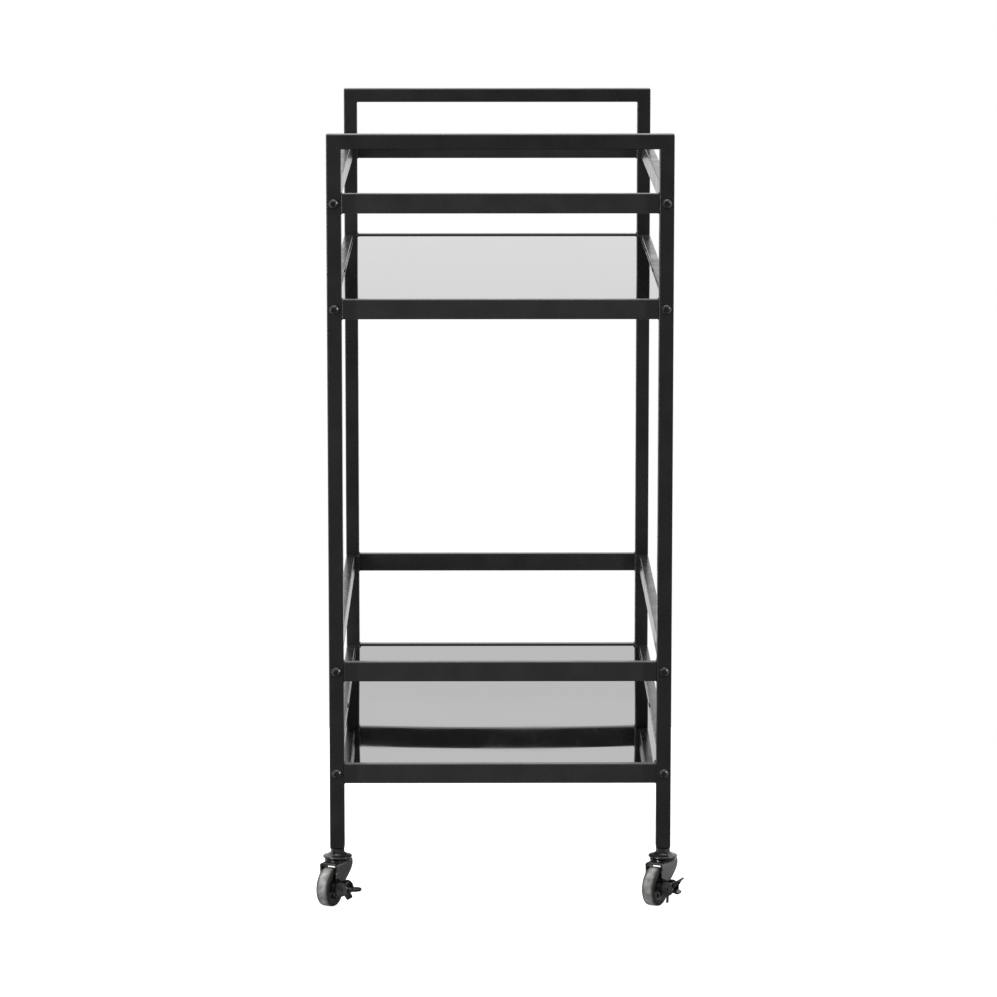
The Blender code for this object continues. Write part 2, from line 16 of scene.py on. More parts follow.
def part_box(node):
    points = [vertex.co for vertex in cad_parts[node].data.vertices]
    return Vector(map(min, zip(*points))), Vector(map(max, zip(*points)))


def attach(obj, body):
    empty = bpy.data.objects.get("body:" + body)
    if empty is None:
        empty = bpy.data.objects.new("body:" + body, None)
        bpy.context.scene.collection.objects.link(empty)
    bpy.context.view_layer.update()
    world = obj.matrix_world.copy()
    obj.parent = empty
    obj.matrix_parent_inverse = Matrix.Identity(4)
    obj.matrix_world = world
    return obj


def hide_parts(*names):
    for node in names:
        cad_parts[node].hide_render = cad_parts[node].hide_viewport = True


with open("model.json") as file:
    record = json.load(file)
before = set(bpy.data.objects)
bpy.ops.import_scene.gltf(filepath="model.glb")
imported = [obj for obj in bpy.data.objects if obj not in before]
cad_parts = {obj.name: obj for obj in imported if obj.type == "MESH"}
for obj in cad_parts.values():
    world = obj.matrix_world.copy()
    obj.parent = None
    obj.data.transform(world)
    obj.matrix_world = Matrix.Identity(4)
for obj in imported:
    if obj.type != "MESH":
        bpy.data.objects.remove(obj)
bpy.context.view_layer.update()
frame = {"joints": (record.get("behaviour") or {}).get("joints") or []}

MM = 0.001

# --- Studio -------------------------------------------------------------------------------
# A glowing white floor runs out into a white surround, so the cart stands on plain white.
# What the paint and the mirrors pick up is a softer room: bright behind, flagged off in front.

FLOOR_RADIUS = 1.3
FLOOR_STEPS = 96
FLOOR_MIDDLE = (0, -0.75, 0)
FLOOR_GLOW = 0.86
FLOOR_ROUGHNESS = 0.9
FLOOR_PALE = (0.8, 0.8, 0.8)
FLOOR_FLAGGED = (0.12, 0.12, 0.12)
FLAG_FROM, FLAG_TO = -0.4, -0.2
WHITE = (1, 1, 1)


def keep(bm, name):
    """A bmesh as a plain mesh."""
    mesh = bpy.data.meshes.new(name)
    bm.to_mesh(mesh)
    bm.free()
    return mesh


def coordinate(tree, axis, space="Object"):
    """One axis of the point being shaded."""
    point = tree.nodes.new("ShaderNodeTexCoord")
    apart = tree.nodes.new("ShaderNodeSeparateXYZ")
    tree.links.new(point.outputs[space], apart.inputs["Vector"])
    return apart.outputs[axis]


def worked_out(tree, operation, *values):
    """One sum on numbers or on other nodes' outputs."""
    node = tree.nodes.new("ShaderNodeMath")
    node.operation = operation
    for socket, value in zip(node.inputs, values):
        if isinstance(value, (int, float)):
            socket.default_value = value
        else:
            tree.links.new(value, socket)
    return node.outputs["Value"]


def spread(tree, value, low, high, clip=(0.25, 0.75), curve="SMOOTHSTEP"):
    """A value stretched to run from low to high between two limits."""
    ranged = tree.nodes.new("ShaderNodeMapRange")
    ranged.interpolation_type = curve
    for name, number in zip(("From Min", "From Max", "To Min", "To Max"), (*clip, low, high)):
        ranged.inputs[name].default_value = number
    tree.links.new(value, ranged.inputs["Value"])
    return ranged.outputs["Result"]


def blended(tree, mask, first, second):
    """Two colours mixed by a mask; either may be a colour or another node's output."""
    mix = tree.nodes.new("ShaderNodeMix")
    mix.data_type = "RGBA"
    colours = {s.name: s for s in mix.inputs if s.type == "RGBA"}
    for socket, colour in (("A", first), ("B", second)):
        if isinstance(colour, tuple):
            colours[socket].default_value = (*colour, 1)
        else:
            tree.links.new(colour, colours[socket])
    tree.links.new(mask, mix.inputs["Factor"])
    return next(s for s in mix.outputs if s.type == "RGBA")


bm = bmesh.new()
floor_at = Matrix.Translation(FLOOR_MIDDLE)
bmesh.ops.create_circle(bm, cap_ends=True, segments=FLOOR_STEPS, radius=FLOOR_RADIUS, matrix=floor_at)
floor_mesh = keep(bm, "studio_floor")
floor = bpy.data.objects.new("studio_floor", floor_mesh)
bpy.context.scene.collection.objects.link(floor)
floor_paint = bpy.data.materials.new("studio_floor")
floor_paint.use_nodes = True
tree = floor_paint.node_tree
shader = tree.nodes["Principled BSDF"]
shader.inputs["Roughness"].default_value = FLOOR_ROUGHNESS
shader.inputs["Emission Color"].default_value = (*WHITE, 1)
# The camera sees the whole floor pale and glowing; the cart sees its front part flagged.
direct = tree.nodes.new("ShaderNodeLightPath").outputs["Is Camera Ray"]
tree.links.new(worked_out(tree, "MULTIPLY", direct, FLOOR_GLOW), shader.inputs["Emission Strength"])
unflagged = spread(tree, coordinate(tree, "Y"), 0, 1, (FLAG_FROM, FLAG_TO), "LINEAR")
pale = worked_out(tree, "MAXIMUM", unflagged, direct)
tree.links.new(blended(tree, pale, FLOOR_FLAGGED, FLOOR_PALE), shader.inputs["Base Color"])
floor_mesh.materials.append(floor_paint)

# Brightness of the room over height, from straight down (0) past level (0.5) to straight up (1)
ROOM_BEHIND = (
    (0.0, 0.6), (0.35, 1.15), (0.5, 1.1), (0.555, 1.015), (0.585, 0.97), (0.65, 0.97), (1.0, 0.85)
)
ROOM_AHEAD = (
    (0.0, 0.2), (0.4, 0.34), (0.44, 0.2), (0.465, 0.04), (0.5, 0.03), (0.64, 0.04), (0.69, 0.8), (1.0, 0.85)
)
ROOM_TURN = 0.35  # half of the stretch in which one gives way to the other, along Y

world = bpy.data.worlds.new("studio")
world.use_nodes = True
bpy.context.scene.world = world
room = world.node_tree
height = spread(room, coordinate(room, "Z", "Generated"), 0, 1, (-1, 1), "LINEAR")
tones = []
for stops in (ROOM_AHEAD, ROOM_BEHIND):
    ramp = room.nodes.new("ShaderNodeValToRGB")
    ramp.color_ramp.elements[0].position = stops[0][0]
    ramp.color_ramp.elements[1].position = stops[-1][0]
    for position, _ in stops[1:-1]:
        ramp.color_ramp.elements.new(position)
    for element, (_, level) in zip(ramp.color_ramp.elements, stops):
        element.color = (level, level, level, 1)
    room.links.new(height, ramp.inputs["Fac"])
    tones.append(ramp.outputs["Color"])
behind = spread(room, coordinate(room, "Y", "Generated"), 0, 1, (-ROOM_TURN, ROOM_TURN))
seen = room.nodes.new("ShaderNodeLightPath").outputs["Is Camera Ray"]
surround = blended(room, seen, blended(room, behind, *tones), WHITE)
room.links.new(surround, room.nodes["Background"].inputs["Color"])
bpy.context.scene.view_settings.view_transform = "Standard"


def soft_box(name, place, aim, width, height, watts):
    """A rectangular studio light that looks at a point."""
    light = bpy.data.lights.new(name, "AREA")
    light.shape = "RECTANGLE"
    light.size = width
    light.size_y = height
    light.energy = watts
    lamp = bpy.data.objects.new(name, light)
    bpy.context.scene.collection.objects.link(lamp)
    lamp.location = place
    lamp.rotation_euler = (Vector(aim) - Vector(place)).to_track_quat("-Z", "Y").to_euler()


soft_box("overhead_light", place=(0, 0.3, 3.0), aim=(0, 0, 0.4), width=2.6, height=2.6, watts=38)
soft_box("left_light", place=(-2.4, -2.6, 0.7), aim=(0, -0.3, 0.35), width=0.7, height=1.3, watts=60)
soft_box("right_light", place=(2.8, -1.2, 1.4), aim=(0, 0, 0.4), width=0.6, height=1.6, watts=24)

CAMERA_PLACE = (-0.0257, -4.8688, 1.16485)
CAMERA_TURN = (math.radians(90 - 9.279), 0, math.radians(-0.301))
CAMERA_LENS = 163.77
CAMERA_SENSOR = 36

view = bpy.data.cameras.new("camera")
view.lens = CAMERA_LENS
view.sensor_width = CAMERA_SENSOR
camera = bpy.data.objects.new("camera", view)
bpy.context.scene.collection.objects.link(camera)
camera.location = CAMERA_PLACE
camera.rotation_euler = CAMERA_TURN
bpy.context.scene.camera = camera

# --- End frames ---------------------------------------------------------------------------
# Two legs and a handle bar of 15 mm square steel tube, mitred, welded and ground flush, with
# small weld fillets in the inner corners.  A plug with rounded edges closes each foot.
# The whole frame is powder-coated satin black.

leg_low, leg_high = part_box("front_end_frame")
TUBE = leg_high.y - leg_low.y
TUBE_EDGE = 1.2 * MM
FOOT_EDGE = 2.2 * MM
INNER_FILLET = 2 * MM
BOLT_BORE = 3.3 * MM
STEM_BORE = 4.3 * MM
STEM_BORE_DEPTH = 18 * MM
CREASE = 32  # degrees: flatter edges than this are shaded smooth
EASE_OVER = math.radians(38)  # sharper edges than this are eased after a cut
GRAIN_STRENGTH = 0.5
RAIL_LEVELS = ("upper_guard", "upper_shelf", "lower_guard", "lower_shelf")


def coat_grain_group():
    """The unevenness of a sprayed or moulded surface: a fine grain and slow clouds."""
    group = bpy.data.node_groups.new("surface_grain", "ShaderNodeTree")
    group.interface.new_socket("Position", in_out="INPUT", socket_type="NodeSocketVector")
    for name in ("Grain Scale", "Cloud Scale"):
        group.interface.new_socket(name, in_out="INPUT", socket_type="NodeSocketFloat")
    for name in ("Grain", "Cloud"):
        group.interface.new_socket(name, in_out="OUTPUT", socket_type="NodeSocketFloat")
    entry = group.nodes.new("NodeGroupInput")
    leave = group.nodes.new("NodeGroupOutput")
    for name, detail in (("Grain", 2.0), ("Cloud", 4.0)):
        noise = group.nodes.new("ShaderNodeTexNoise")
        noise.inputs["Detail"].default_value = detail
        group.links.new(entry.outputs["Position"], noise.inputs["Vector"])
        group.links.new(entry.outputs[name + " Scale"], noise.inputs["Scale"])
        group.links.new(noise.outputs["Fac"], leave.inputs[name])
    return group


SURFACE_GRAIN = coat_grain_group()


def finish(name, dark, light, rough, grain, cloud, relief, metallic=0.0, gloss=0.5):
    """A coated, plated or moulded surface: tones, roughness and relief follow its own grain."""
    made = bpy.data.materials.new(name)
    made.use_nodes = True
    tree = made.node_tree
    shader = tree.nodes["Principled BSDF"]
    shader.inputs["Metallic"].default_value = metallic
    shader.inputs["Specular IOR Level"].default_value = gloss
    place = tree.nodes.new("ShaderNodeTexCoord")
    texture = tree.nodes.new("ShaderNodeGroup")
    texture.node_tree = SURFACE_GRAIN
    texture.name = "grain"
    texture.inputs["Grain Scale"].default_value = grain
    texture.inputs["Cloud Scale"].default_value = cloud
    tree.links.new(place.outputs["Object"], texture.inputs["Position"])
    tone = blended(tree, spread(tree, texture.outputs["Cloud"], 0, 1), dark, light)
    tree.links.new(tone, shader.inputs["Base Color"])
    tree.links.new(spread(tree, texture.outputs["Cloud"], *rough), shader.inputs["Roughness"])
    bump = tree.nodes.new("ShaderNodeBump")
    bump.inputs["Strength"].default_value = GRAIN_STRENGTH
    bump.inputs["Distance"].default_value = relief
    tree.links.new(texture.outputs["Grain"], bump.inputs["Height"])
    tree.links.new(bump.outputs["Normal"], shader.inputs["Normal"])
    return made


FRAME_COAT = finish(
    "frame_powder_coat",
    dark=(0.0135, 0.0133, 0.0144),
    light=(0.018, 0.0177, 0.019),
    rough=(0.24, 0.34),
    grain=1100,
    cloud=28,
    relief=0.02 * MM,
    gloss=0.42,
)


def settle(name, mesh, body, finishes, stands_for=(), crease=CREASE):
    """A mesh becomes a piece of the cart: shaded, painted, and riding on its body."""
    for paint in finishes:
        mesh.materials.append(paint)
    mesh.shade_smooth()
    mesh.set_sharp_from_angle(angle=math.radians(crease))
    piece = bpy.data.objects.new(name, mesh)
    bpy.context.scene.collection.objects.link(piece)
    even = piece.modifiers.new("even_normals", "WEIGHTED_NORMAL")
    even.keep_sharp = True
    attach(piece, body)
    if stands_for:
        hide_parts(*stands_for)
    return piece


def rounded(bm, edges, radius, segments=4):
    """Edges of a bmesh rounded over."""
    bmesh.ops.bevel(
        bm, geom=edges, offset=radius, segments=segments, profile=0.5, affect="EDGES", material=-1
    )


def as_shown(item):
    """The mesh of an object or a curve with its modifiers applied."""
    return bpy.data.meshes.new_from_object(item.evaluated_get(bpy.context.evaluated_depsgraph_get()))


def raised_outline(outline, low, high, turn=None):
    """A flat XY outline raised from one height to another, then turned."""
    bm = bmesh.new()
    flat = bm.faces.new([bm.verts.new((x, y, low)) for x, y in outline])
    raised = bmesh.ops.extrude_face_region(bm, geom=[flat])["geom"]
    top = [v for v in raised if isinstance(v, bmesh.types.BMVert)]
    bmesh.ops.translate(bm, verts=top, vec=(0, 0, high - low))
    if turn:
        bmesh.ops.transform(bm, matrix=turn, verts=bm.verts)
    bmesh.ops.recalc_face_normals(bm, faces=bm.faces)
    return bm


def reshaped(body, within=(), joined=(), cut=(), edge=0.0):
    """A mesh kept where others are, then joined to others, then cut by others, then eased."""
    target = bpy.data.objects.new("shaping", body)
    bpy.context.scene.collection.objects.link(target)
    tools = []
    for operation, meshes in (("INTERSECT", within), ("UNION", joined), ("DIFFERENCE", cut)):
        for mesh in meshes:
            tool = bpy.data.objects.new("tool", mesh)
            bpy.context.scene.collection.objects.link(tool)
            step = target.modifiers.new(operation.lower(), "BOOLEAN")
            step.operation = operation
            step.object = tool
            tools.append(tool)
    if edge:
        ease = target.modifiers.new("ease", "BEVEL")
        ease.width = edge
        ease.segments = 2
        ease.limit_method = "ANGLE"
        ease.angle_limit = EASE_OVER
        ease.use_clamp_overlap = True
    result = as_shown(target)
    for helper in [target] + tools:
        bpy.data.objects.remove(helper, do_unlink=True)
    return result


def round_bar(radius, start, end, steps=32):
    """A plain round bar between two points."""
    start, end = Vector(start), Vector(end)
    turn = (end - start).to_track_quat("Z", "Y").to_matrix().to_4x4()
    bm = bmesh.new()
    bmesh.ops.create_cone(
        bm,
        cap_ends=True,
        segments=steps,
        radius1=radius,
        radius2=radius,
        depth=(end - start).length,
        matrix=Matrix.Translation((start + end) / 2) @ turn,
    )
    return keep(bm, "round_bar")


STOOD_UP = Matrix.Rotation(math.pi / 2, 4, "X")

for end_name in ("front", "rear"):
    low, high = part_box(end_name + "_end_frame")
    inner = high.x - TUBE
    under = high.z - TUBE
    outline = [(low.x, low.z), (low.x, high.z), (high.x, high.z), (high.x, low.z)]
    outline += [(inner, low.z), (inner, under), (-inner, under), (-inner, low.z)]
    bm = raised_outline(outline, -high.y, -low.y, STOOD_UP)
    corners = [v for v in bm.verts if abs(abs(v.co.x) - inner) + abs(v.co.z - under) < MM]
    rounded(bm, [e for e in bm.edges if all(v in corners for v in e.verts)], INNER_FILLET)
    rounded(bm, [e for e in bm.edges if all(v.co.z < low.z + MM for v in e.verts)], FOOT_EDGE)
    sharp = [e for e in bm.edges if e.calc_face_angle(0) > math.radians(60)]
    rounded(bm, sharp, TUBE_EDGE)
    bores = []
    leg_x = high.x - TUBE / 2
    for side in (-1, 1):
        for level in RAIL_LEVELS:
            rail_low, rail_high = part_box(f"{end_name}_{level}_rail")
            z = (rail_low.z + rail_high.z) / 2
            at = side * leg_x
            bores.append(round_bar(BOLT_BORE, (at, low.y - MM, z), (at, high.y + MM, z)))
        foot = Vector((side * leg_x, (low.y + high.y) / 2, low.z - MM))
        bores.append(round_bar(STEM_BORE, foot, foot + Vector((0, 0, STEM_BORE_DEPTH))))
    frame_mesh = reshaped(keep(bm, end_name + "_frame"), cut=bores)
    settle(end_name + "_frame", frame_mesh, "root", [FRAME_COAT], [end_name + "_end_frame"])

# --- Cross rails and their welds ----------------------------------------------------------
# Rectangular 20 x 10 mm tube between the legs, flush with their outer faces and welded to
# them.  The shelf rails carry two small tabs that the mirror lies on.

RAIL_DEPTH = 10 * MM
RAIL_EDGE = 1 * MM
TAB_EDGE = 0.5 * MM
TAB_THICK = 2 * MM
TAB_REACH = 12 * MM
TAB_LENGTH = 16 * MM
TAB_TOP = 5.8 * MM  # under the top of a shelf rail
END_TAB_SPACING = 160 * MM
BEAD_RADIUS = 0.95 * MM
BEAD_STEP = 0.7 * MM
RIPPLE = 0.16
RIPPLE_TURN = 1.9  # radians from one point of the bead to the next
BEAD_END = 0.4  # of its radius, where a bead starts and stops

LIGHT_WITHIN, DARK_BEYOND = 143 * MM, 149 * MM  # off centre: the rails are coloured darker towards their ends, next to the legs
DARKER_NEXT_TO_LEGS = (0.019, 0.0187, 0.02)


def rail_coat_painted_sheen(name):
    """The powder coat on the rails: glossier than the end frames', with a lighter colour that is painted
    sheen for the light their flat faces reflect.
    """
    return finish(
        name,
        dark=(0.0225, 0.0222, 0.0237),
        light=(0.029, 0.0285, 0.0303),
        rough=(0.2, 0.3),
        grain=1100,
        cloud=28,
        relief=0.02 * MM,
        gloss=0.45,
    )


def tone_elsewhere(made, mask, tone):
    """Another tone for a finish wherever the mask runs out."""
    tree = made.node_tree
    base = tree.nodes["Principled BSDF"].inputs["Base Color"]
    tree.links.new(blended(tree, mask, tone, base.links[0].from_socket), base)


# Painted sheen: the cross rails are coloured lighter than the end frames for the light their flat faces
# reflect.
CROSSBAR_COAT = rail_coat_painted_sheen("crossbar_coat_painted_sheen")
tree = CROSSBAR_COAT.node_tree
# The cross rails are coloured darker towards their ends, next to the legs.
off_centre = worked_out(tree, "ABSOLUTE", coordinate(tree, "X"))
tone_elsewhere(CROSSBAR_COAT, spread(tree, off_centre, 1, 0, (LIGHT_WITHIN, DARK_BEYOND)), DARKER_NEXT_TO_LEGS)


def bar(low, high, edge, segments=4):
    """A straight bar between two corners, its edges rounded."""
    low, high = Vector(map(min, low, high)), Vector(map(max, low, high))
    bm = bmesh.new()
    size = Matrix.Diagonal((*(high - low), 1))
    bmesh.ops.create_cube(bm, size=1, matrix=Matrix.Translation((low + high) / 2) @ size)
    rounded(bm, bm.edges[:], edge, segments)
    return keep(bm, "bar")


def together(name, meshes):
    """Several welded shapes as one mesh."""
    bm = bmesh.new()
    for mesh in meshes:
        bm.from_mesh(mesh)
    return keep(bm, name)


def run_of_weld(curve, corners):
    """A bead along a line of corners, with the ripples that the puddle leaves."""
    points = []
    for start, end in zip(corners, corners[1:]):
        start, end = Vector(start), Vector(end)
        count = max(2, round((end - start).length / BEAD_STEP))
        points += [start.lerp(end, i / count) for i in range(count)]
    points.append(Vector(corners[-1]))
    spline = curve.splines.new("POLY")
    spline.points.add(len(points) - 1)
    for i, (point, co) in enumerate(zip(spline.points, points)):
        point.co = (*co, 1)
        point.radius = 1 + RIPPLE * math.sin(i * RIPPLE_TURN)
    spline.points[0].radius = spline.points[-1].radius = BEAD_END


for end_name, end in (("front", -1), ("rear", 1)):
    leg_low, leg_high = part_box(end_name + "_end_frame")
    outer = end * max(abs(leg_low.y), abs(leg_high.y))
    back = outer - end * RAIL_DEPTH
    reach = leg_high.x - TUBE
    welds = bpy.data.curves.new(end_name + "_welds", "CURVE")
    welds.dimensions = "3D"
    welds.bevel_depth = BEAD_RADIUS
    welds.bevel_resolution = 2
    welds.use_fill_caps = True
    for level in RAIL_LEVELS:
        node = f"{end_name}_{level}_rail"
        low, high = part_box(node)
        top = high.z
        base = low.z
        shapes = [bar((-reach, outer, base), (reach, back, top), RAIL_EDGE)]
        if "shelf" in level:
            for side in (-1, 1):
                x = side * END_TAB_SPACING / 2
                tip = back - end * TAB_REACH
                tab_low = (x - TAB_LENGTH / 2, tip, top - TAB_TOP - TAB_THICK)
                tab_high = (x + TAB_LENGTH / 2, back + end * RAIL_EDGE, top - TAB_TOP)
                shapes.append(bar(tab_low, tab_high, TAB_EDGE, 2))
        crossbar = together(node, shapes)
        settle(node.replace("_rail", "_crossbar"), crossbar, "root", [CROSSBAR_COAT], [node])
        for side in (-1, 1):
            x = side * reach
            near = outer - end * RAIL_EDGE
            run_of_weld(welds, [(x, near, top), (x, back, top), (x, back, base), (x, near, base)])
    weld_piece = bpy.data.objects.new(end_name + "_welds", welds)
    bpy.context.scene.collection.objects.link(weld_piece)
    weld_mesh = as_shown(weld_piece)
    bpy.data.objects.remove(weld_piece, do_unlink=True)
    settle(end_name + "_welds", weld_mesh, "root", [FRAME_COAT], crease=180)

# --- Side rails ---------------------------------------------------------------------------
# The same tube down both long sides, flush with the outside of the legs.  A tapped block
# welded into each end takes the bolt through the leg; the shelf rails have three tabs.

BLOCK_LENGTH = 8 * MM
BLOCK_EDGE = 0.5 * MM
BLOCK_INSET = 0.2 * MM
SIDE_TAB_SPACING = 200 * MM

# Painted sheen: the side rails are coloured lighter than the end frames for the light their flat faces
# reflect.
RAIL_COAT = rail_coat_painted_sheen("rail_powder_coat")

for side_name, side in (("left", -1), ("right", 1)):
    for level in RAIL_LEVELS:
        node = f"{side_name}_{level}_rail"
        low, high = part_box(node)
        outer = side * max(abs(low.x), abs(high.x))
        inner = outer - side * RAIL_DEPTH
        shapes = [bar((outer, low.y, low.z), (inner, high.y, high.z), RAIL_EDGE)]
        block_inner = outer - side * TUBE
        for end in (-1, 1):
            face = high.y if end > 0 else low.y
            block_low = (outer - side * RAIL_EDGE, face, low.z + BLOCK_INSET)
            block_high = (block_inner, face - end * BLOCK_LENGTH, high.z - BLOCK_INSET)
            shapes.append(bar(block_low, block_high, BLOCK_EDGE, 2))
        if "shelf" in level:
            for i in (-1, 0, 1):
                y = i * SIDE_TAB_SPACING
                tab_low = (inner - side * TAB_REACH, y - TAB_LENGTH / 2, high.z - TAB_TOP - TAB_THICK)
                tab_high = (inner + side * RAIL_EDGE, y + TAB_LENGTH / 2, high.z - TAB_TOP)
                shapes.append(bar(tab_low, tab_high, TAB_EDGE, 2))
        side_bar = together(node, shapes)
        settle(node.replace("_rail", "_side_bar"), side_bar, "root", [RAIL_COAT], [node])

# --- Bolts --------------------------------------------------------------------------------
# M6 button-head screws with a hexagon socket, of steel with black oxide.  One goes through
# each leg at each rail, and into the tapped block of the side rail behind it.

BOLT_SHANK = 3 * MM
BOLT_HEAD = 5.25 * MM
BOLT_RISE = 3.2 * MM
BOLT_REACH = 22.7 * MM
SOCKET_MOUTH = 2.9 * MM
SOCKET_FLATS = 4 * MM
SOCKET_DEPTH = 2 * MM
BOLT_STEPS = 48
CROWN_STEPS = 6
CROWN_FULLNESS = 0.75  # a lower power bulges the head further
TIGHTENED_APART = 23  # degrees between one bolt's socket and the next one's

BOLT_BLACK = finish(
    "bolt_black_oxide",
    dark=(0.008, 0.008, 0.0085),
    light=(0.016, 0.016, 0.017),
    rough=(0.12, 0.22),
    grain=2500,
    cloud=300,
    relief=0.015 * MM,
    gloss=0.8,
)


def spun(profile, steps, ring=False):
    """A (radius, height) outline spun about Z into a closed round shape."""
    bm = bmesh.new()
    verts = [bm.verts.new((radius, 0, height)) for radius, height in profile]
    pairs = list(zip(verts, verts[1:] + verts[:1] if ring else verts[1:]))
    edges = [bm.edges.new(pair) for pair in pairs]
    bmesh.ops.spin(
        bm, geom=verts + edges, cent=(0, 0, 0), axis=(0, 0, 1), angle=math.tau, steps=steps, use_merge=True
    )
    bmesh.ops.remove_doubles(bm, verts=bm.verts, dist=0.01 * MM)
    bmesh.ops.recalc_face_normals(bm, faces=bm.faces)
    return bm


def button_head():
    """The whole bolt about Z, its head on top, the socket sunk into it."""
    crown = []
    for i in range(CROWN_STEPS + 1):
        turn = math.pi / 2 * i / CROWN_STEPS
        crown.append((BOLT_HEAD * math.cos(turn) ** CROWN_FULLNESS, BOLT_RISE * math.sin(turn)))
    crown = [(r, z) for r, z in crown if r > SOCKET_MOUTH + 0.3 * MM]
    profile = [(0, -BOLT_REACH), (BOLT_SHANK - 0.6 * MM, -BOLT_REACH), (BOLT_SHANK, 0.6 * MM - BOLT_REACH)]
    profile += [(BOLT_SHANK, 0), (BOLT_HEAD - 0.3 * MM, 0)] + crown + [(SOCKET_MOUTH, BOLT_RISE)]
    profile.append((0, BOLT_RISE))
    bm = spun(profile, BOLT_STEPS)
    socket = bmesh.new()
    bmesh.ops.create_cone(
        socket,
        cap_ends=True,
        segments=6,
        radius1=SOCKET_FLATS / math.sqrt(3),
        radius2=SOCKET_FLATS / math.sqrt(3),
        depth=2 * SOCKET_DEPTH,
        matrix=Matrix.Translation((0, 0, BOLT_RISE)),
    )
    return reshaped(keep(bm, "bolt"), cut=[keep(socket, "socket")], edge=0.12 * MM)


BOLT = button_head()
fitted = 0
for end_name, end in (("front", -1), ("rear", 1)):
    facing = Matrix.Rotation(-end * math.pi / 2, 4, "X")
    for side_name in ("left", "right"):
        for level in RAIL_LEVELS:
            node = f"{end_name}_{side_name}_{level}_bolt"
            low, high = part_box(node)
            seat = (high.y - BOLT_RISE) if end > 0 else (low.y + BOLT_RISE)
            driven = Matrix.Rotation(math.radians(TIGHTENED_APART * fitted), 4, "Z")
            fitted += 1
            bolt = BOLT.copy()
            middle = (low + high) / 2
            bolt.transform(Matrix.Translation((middle.x, seat, middle.z)) @ facing @ driven)
            settle(node.replace("_bolt", "_screw"), bolt, "root", [BOLT_BLACK], [node])

# --- Mirror shelves -----------------------------------------------------------------------
# Panes of 4 mm smoked mirror glass laid on the tabs, their corners notched round the legs and
# blocks.  The rim is ground; the back has grey protective paint.  Each pane sags a little.

RIM_EDGE = 0.6 * MM
NOTCH_X = 5 * MM
NOTCH_Y = 13 * MM
PANE_CUTS = (14, 28)  # strips across and along, so that the pane can sag
PANE_CREASE = 25
SAG = {"upper": 0.2 * MM, "lower": 0.5 * MM}
BOW = {"upper": 0.0, "lower": 0.0108}  # slope by which the glass tips off level, away from its middle
BOW_MIDDLE = 65 * MM  # half of the nearly level stretch


def smoked_silver(shelf):
    """The face of a pane, bowed a little along the cart like real glass on its tabs."""
    made = finish(
        shelf + "_mirror_silver",
        dark=(0.283, 0.282, 0.281),
        light=(0.293, 0.291, 0.29),
        rough=(0.01, 0.035),
        grain=60,
        cloud=9,
        relief=0.0005 * MM,
        metallic=1.0,
    )
    tree = made.node_tree
    along = coordinate(tree, "Y")
    squared = worked_out(tree, "ADD", worked_out(tree, "MULTIPLY", along, along), BOW_MIDDLE**2)
    bow = tree.nodes.new("ShaderNodeBump")
    bow.inputs["Strength"].default_value = 1.0
    bow.inputs["Distance"].default_value = BOW[shelf]
    tree.links.new(worked_out(tree, "SQRT", squared), bow.inputs["Height"])
    fine = tree.nodes["Principled BSDF"].inputs["Normal"].links[0].from_node
    tree.links.new(bow.outputs["Normal"], fine.inputs["Normal"])
    return made


GLASS_RIM = finish(
    "mirror_rim",
    dark=(0.05, 0.085, 0.075),
    light=(0.09, 0.14, 0.125),
    rough=(0.12, 0.25),
    grain=400,
    cloud=60,
    relief=0.01 * MM,
)
BACK_PAINT = finish(
    "mirror_back",
    dark=(0.10, 0.105, 0.11),
    light=(0.15, 0.155, 0.16),
    rough=(0.5, 0.65),
    grain=900,
    cloud=20,
    relief=0.04 * MM,
)

for shelf in ("upper", "lower"):
    node = shelf + "_mirror_shelf"
    low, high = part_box(node)
    quarter = [(high.x, high.y - NOTCH_Y), (high.x - NOTCH_X, high.y - NOTCH_Y), (high.x - NOTCH_X, high.y)]
    outline = quarter + [(-x, y) for x, y in reversed(quarter)]
    outline += [(-x, -y) for x, y in quarter] + [(x, -y) for x, y in reversed(quarter)]
    bm = raised_outline(outline, low.z, high.z)
    rim = [e for e in bm.edges if abs(e.verts[0].co.z - e.verts[1].co.z) < MM]
    rounded(bm, rim, RIM_EDGE, 2)
    for axis, cuts, half in ((0, PANE_CUTS[0], high.x), (1, PANE_CUTS[1], high.y)):
        for i in range(1, cuts):
            point = [0, 0, 0]
            point[axis] = half * (2 * i / cuts - 1)
            normal = [0, 0, 0]
            normal[axis] = 1
            everything = bm.verts[:] + bm.edges[:] + bm.faces[:]
            bmesh.ops.bisect_plane(bm, geom=everything, plane_co=point, plane_no=normal, dist=0.01 * MM)
    for face in bm.faces:
        up = face.normal.z
        face.material_index = 0 if up > 0.99 else 2 if up < -0.99 else 1
    for vert in bm.verts:
        across = 1 - (vert.co.x / high.x) ** 2
        along = 1 - (vert.co.y / high.y) ** 2
        vert.co.z -= SAG[shelf] * across * along
    finishes = [smoked_silver(shelf), GLASS_RIM, BACK_PAINT]
    settle(shelf + "_mirror", keep(bm, node), "root", finishes, [node], PANE_CREASE)

# --- Caster stems -------------------------------------------------------------------------
# Turned steel: threaded shank up into the leg, hexagon collar, then a pressed swivel dish
# with a rolled rim.  The kingpin below is riveted over under the deck of the fork.

